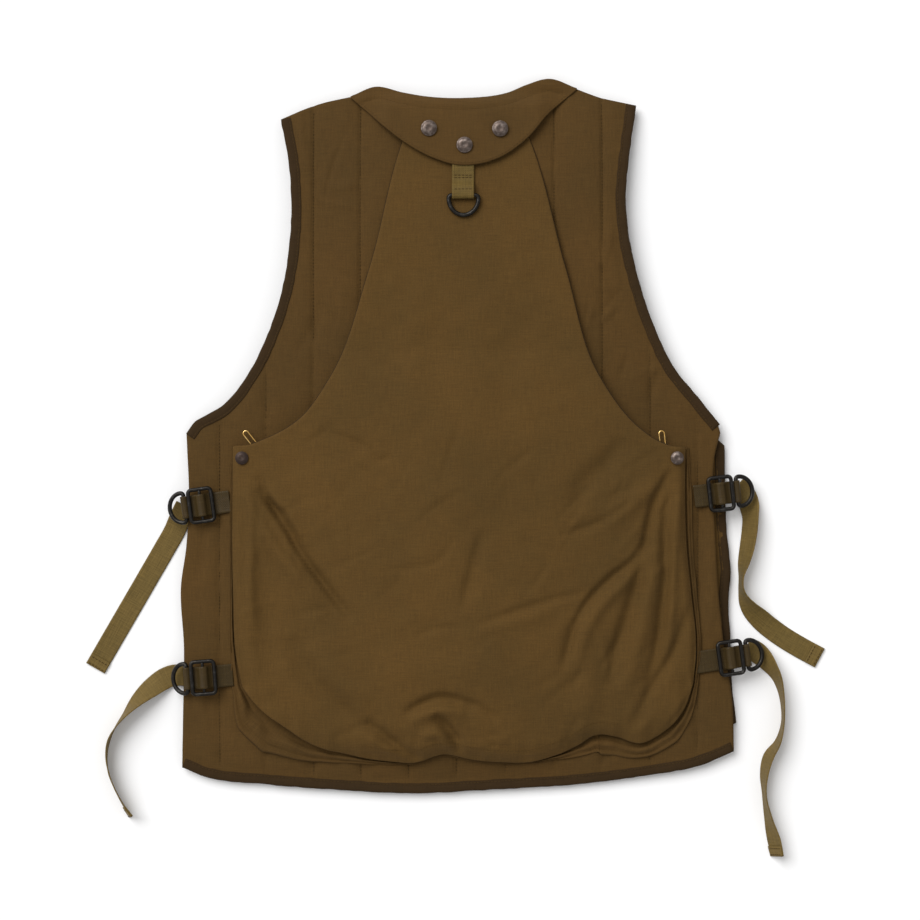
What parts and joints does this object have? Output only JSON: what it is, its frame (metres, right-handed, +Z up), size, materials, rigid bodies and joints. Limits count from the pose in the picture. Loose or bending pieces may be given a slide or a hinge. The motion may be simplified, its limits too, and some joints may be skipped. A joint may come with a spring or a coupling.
{
  "type": "fishing vest",
  "caption": "Quilted sleeveless fishing vest with a rear bellows pouch, a snap-down back yoke with a net ring, and side straps with slider buckles and D-rings.",
  "frame": {"origin": "centre of the footprint of the vest as it lies face down, on the surface it lies on, loose straps left out", "axes": "+Z up out of the vest's back, +Y towards the collar, +X towards the right side as the back is looked at"},
  "size_m": [0.7443, 0.7823, 0.05],
  "materials": {
    "shell_cloth": "matt olive brown woven cotton and nylon cloth",
    "binding_tape": "matt dark brown folded binding tape",
    "webbing": "ribbed olive webbing with a slight sheen",
    "zip_tape": "matt dark zip tape with moulded teeth",
    "gunmetal": "dark grey plated wire",
    "antique_snap": "dull antique plated press caps",
    "brass": "bright brass zip sliders and pulls"
  },
  "bodies": {
    "vest": {"back_panel": "shell_cloth", "binding_armhole_left": "binding_tape", "binding_armhole_right": "binding_tape", "binding_front_left": "binding_tape", "binding_front_right": "binding_tape", "binding_hem": "binding_tape", "front_panel_left": "shell_cloth", "front_panel_right": "shell_cloth", "front_pocket_left": "shell_cloth", "front_pocket_right": "shell_cloth", "front_zip_tape_left": "zip_tape", "front_zip_tape_right": "zip_tape", "hanger_loop": "webbing", "neck_facing": "binding_tape", "net_ring_tab": "webbing", "pouch_cover": "shell_cloth", "pouch_gusset": "shell_cloth", "pouch_snap_left": "antique_snap", "pouch_snap_right": "antique_snap", "pouch_stud_left": "antique_snap", "pouch_stud_right": "antique_snap", "pouch_zip_tape_left": "zip_tape", "pouch_zip_tape_right": "zip_tape", "strap_anchor_left_bottom": "webbing", "strap_anchor_left_top": "webbing", "strap_anchor_right_bottom": "webbing", "strap_anchor_right_top": "webbing", "strap_tail_left_bottom": "webbing", "strap_tail_left_top": "webbing", "strap_tail_right_bottom": "webbing", "strap_tail_right_top": "webbing", "yoke_strip": "shell_cloth", "yoke_stud_1": "antique_snap", "yoke_stud_2": "antique_snap", "yoke_stud_3": "antique_snap"},
    "yoke_flap": {"yoke_flap": "shell_cloth", "yoke_snap_1": "antique_snap", "yoke_snap_2": "antique_snap", "yoke_snap_3": "antique_snap"},
    "net_ring": {"net_ring": "gunmetal"},
    "front_zip_slider": {"front_zip_slider": "brass"},
    "front_zip_pull": {"front_zip_pull": "brass"},
    "side_ring_left_top": {"side_ring_left_top": "gunmetal"},
    "slider_buckle_left_top": {"slider_buckle_left_top": "gunmetal"},
    "side_ring_left_bottom": {"side_ring_left_bottom": "gunmetal"},
    "slider_buckle_left_bottom": {"slider_buckle_left_bottom": "gunmetal"},
    "side_ring_right_top": {"side_ring_right_top": "gunmetal"},
    "slider_buckle_right_top": {"slider_buckle_right_top": "gunmetal"},
    "side_ring_right_bottom": {"side_ring_right_bottom": "gunmetal"},
    "slider_buckle_right_bottom": {"slider_buckle_right_bottom": "gunmetal"},
    "pouch_zip_slider_left": {"pouch_zip_slider_left": "brass"},
    "pouch_zip_pull_left": {"pouch_zip_pull_left": "brass"},
    "pocket_flap_left": {"pocket_flap_left": "shell_cloth", "pocket_snap_left": "antique_snap"},
    "pouch_zip_slider_right": {"pouch_zip_slider_right": "brass"},
    "pouch_zip_pull_right": {"pouch_zip_pull_right": "brass"},
    "pocket_flap_right": {"pocket_flap_right": "shell_cloth", "pocket_snap_right": "antique_snap"}
  },
  "joints": [
    {"name": "yoke_flap_hinge", "type": "hinge", "parent": "vest", "child": "yoke_flap", "pos_m": [0, 0.326, 0.02414], "axis": [-1, 0, 0], "range_deg": [0, 140]},
    {"name": "net_ring_hinge", "type": "hinge", "parent": "vest", "child": "net_ring", "pos_m": [-0.0005, 0.2395, 0.03408], "axis": [-1, 0, 0], "range_deg": [0, 150]},
    {"name": "side_ring_hinge_left_top", "type": "hinge", "parent": "vest", "child": "side_ring_left_top", "pos_m": [-0.27954, -0.07162, 0.01722], "axis": [-0.1392, 0.9903, 0], "range_deg": [0, 80]},
    {"name": "slider_tilt_left_top", "type": "hinge", "parent": "vest", "child": "slider_buckle_left_top", "pos_m": [-0.263, -0.0693, 0.02172], "axis": [-0.1392, 0.9903, 0], "range_deg": [0, 5]},
    {"name": "side_ring_hinge_left_bottom", "type": "hinge", "parent": "vest", "child": "side_ring_left_bottom", "pos_m": [-0.27715, -0.24278, 0.01991], "axis": [-0.0767, 0.9971, 0], "range_deg": [0, 80]},
    {"name": "slider_tilt_left_bottom", "type": "hinge", "parent": "vest", "child": "slider_buckle_left_bottom", "pos_m": [-0.2605, -0.2415, 0.02441], "axis": [-0.0767, 0.9971, 0], "range_deg": [0, 5]},
    {"name": "side_ring_hinge_right_top", "type": "hinge", "parent": "vest", "child": "side_ring_right_top", "pos_m": [0.27359, -0.05561, 0.01779], "axis": [0.1132, -0.9936, 0], "range_deg": [0, 80]},
    {"name": "slider_tilt_right_top", "type": "hinge", "parent": "vest", "child": "slider_buckle_right_top", "pos_m": [0.257, -0.0575, 0.02229], "axis": [0.1132, -0.9936, 0], "range_deg": [0, 5]},
    {"name": "side_ring_hinge_right_bottom", "type": "hinge", "parent": "vest", "child": "side_ring_right_bottom", "pos_m": [0.28354, -0.21968, 0.01619], "axis": [0.1392, -0.9903, 0], "range_deg": [0, 80]},
    {"name": "slider_tilt_right_bottom", "type": "hinge", "parent": "vest", "child": "slider_buckle_right_bottom", "pos_m": [0.267, -0.222, 0.02069], "axis": [0.1392, -0.9903, 0], "range_deg": [0, 5]},
    {"name": "pouch_zip_run_left", "type": "hinge", "parent": "vest", "child": "pouch_zip_slider_left", "pos_m": [-0.23144, 0.09748, 0.01665], "axis": [-0.079, 0.0153, 0.9968], "range_deg": [0, 48]},
    {"name": "pouch_pull_hinge_left", "type": "hinge", "parent": "pouch_zip_slider_left", "child": "pouch_zip_pull_left", "pos_m": [-0.2062, -0.01242, 0.02565], "axis": [0.788, 0.6157, 0], "range_deg": [0, 8]},
    {"name": "pocket_flap_hinge_left", "type": "hinge", "parent": "vest", "child": "pocket_flap_left", "pos_m": [-0.125, -0.108, 0.0034], "axis": [1, 0, 0], "range_deg": [0, 100]},
    {"name": "pouch_zip_run_right", "type": "hinge", "parent": "vest", "child": "pouch_zip_slider_right", "pos_m": [0.23559, 0.09024, 0.01677], "axis": [-0.0772, -0.0122, -0.9969], "range_deg": [0, 45]},
    {"name": "pouch_pull_hinge_right", "type": "hinge", "parent": "pouch_zip_slider_right", "child": "pouch_zip_pull_right", "pos_m": [0.19921, -0.01646, 0.0262], "axis": [0.9945, 0.1045, 0], "range_deg": [0, 12]},
    {"name": "pocket_flap_hinge_right", "type": "hinge", "parent": "vest", "child": "pocket_flap_right", "pos_m": [0.125, -0.108, 0.0034], "axis": [1, 0, 0], "range_deg": [0, 100]},
    {"name": "front_zip_run", "type": "slide", "parent": "vest", "child": "front_zip_slider", "axis": [0, -1, 0], "range_m": [0, 0.25]},
    {"name": "front_pull_hinge", "type": "hinge", "parent": "front_zip_slider", "child": "front_zip_pull", "pos_m": [0, 0.094, 0.0051], "axis": [1, 0, 0], "range_deg": [0, 8]}
  ]
}
